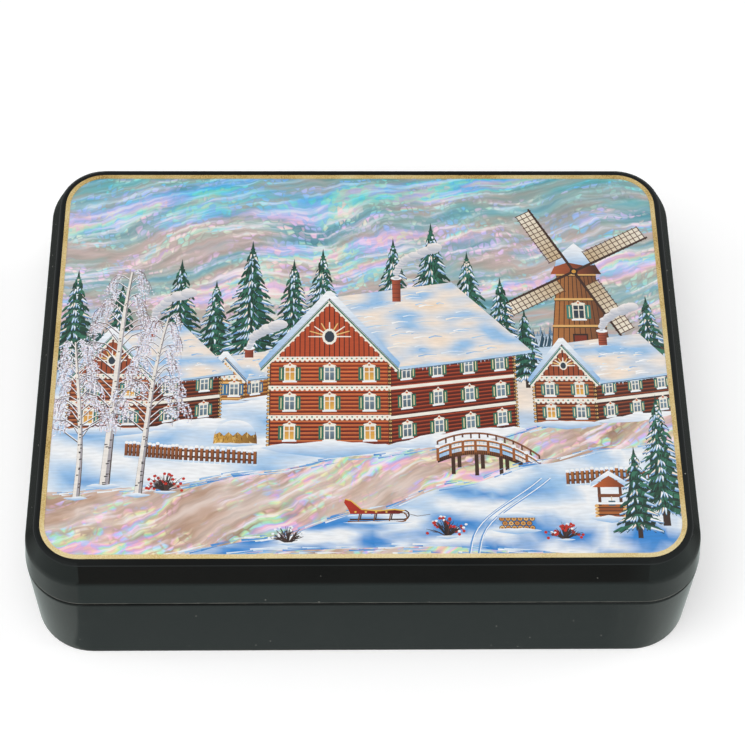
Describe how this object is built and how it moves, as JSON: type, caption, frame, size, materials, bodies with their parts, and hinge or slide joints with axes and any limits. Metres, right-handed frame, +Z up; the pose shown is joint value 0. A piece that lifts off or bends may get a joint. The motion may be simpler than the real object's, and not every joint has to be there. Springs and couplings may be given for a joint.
{
  "type": "lacquer box",
  "caption": "Flat rectangular keepsake box of black lacquered papier-mache with rounded corners and a bevelled lid hinged at the back, painted with a winter village over mother-of-pearl.",
  "frame": {"origin": "middle of the underside, where the box rests", "axes": "+X to the right along the width, -Y towards the front, +Z up"},
  "size_m": [0.2, 0.15, 0.05],
  "materials": {
    "black_lacquer": "polished black oil lacquer over pressed paper board",
    "red_lacquer": "polished red lacquer over pressed paper board",
    "hinge_brass": "satin, a little dull",
    "pin_steel": "drawn wire",
    "mother_of_pearl": "polished shell under clear lacquer",
    "painted_film": "oil paint under clear lacquer",
    "gold_leaf": "gold line under clear lacquer"
  },
  "bodies": {
    "base": {"base_wall": "black_lacquer", "base_floor": "red_lacquer", "base_neck": "red_lacquer", "base_hinge_leaf": "hinge_brass", "base_hinge_brads": "hinge_brass", "hinge_pin": "pin_steel"},
    "lid": {"lid_rim": "black_lacquer", "lid_panel": "black_lacquer", "shell_veneer": "mother_of_pearl", "picture_film": "painted_film", "gold_line": "gold_leaf", "lid_hinge_leaf": "hinge_brass", "lid_hinge_brads": "hinge_brass"}
  },
  "joints": [
    {"name": "lid_hinge", "type": "hinge", "parent": "base", "child": "lid", "pos_m": [0, 0.073, 0.0325], "axis": [-1, 0, 0], "range_deg": [0, 100]}
  ]
}
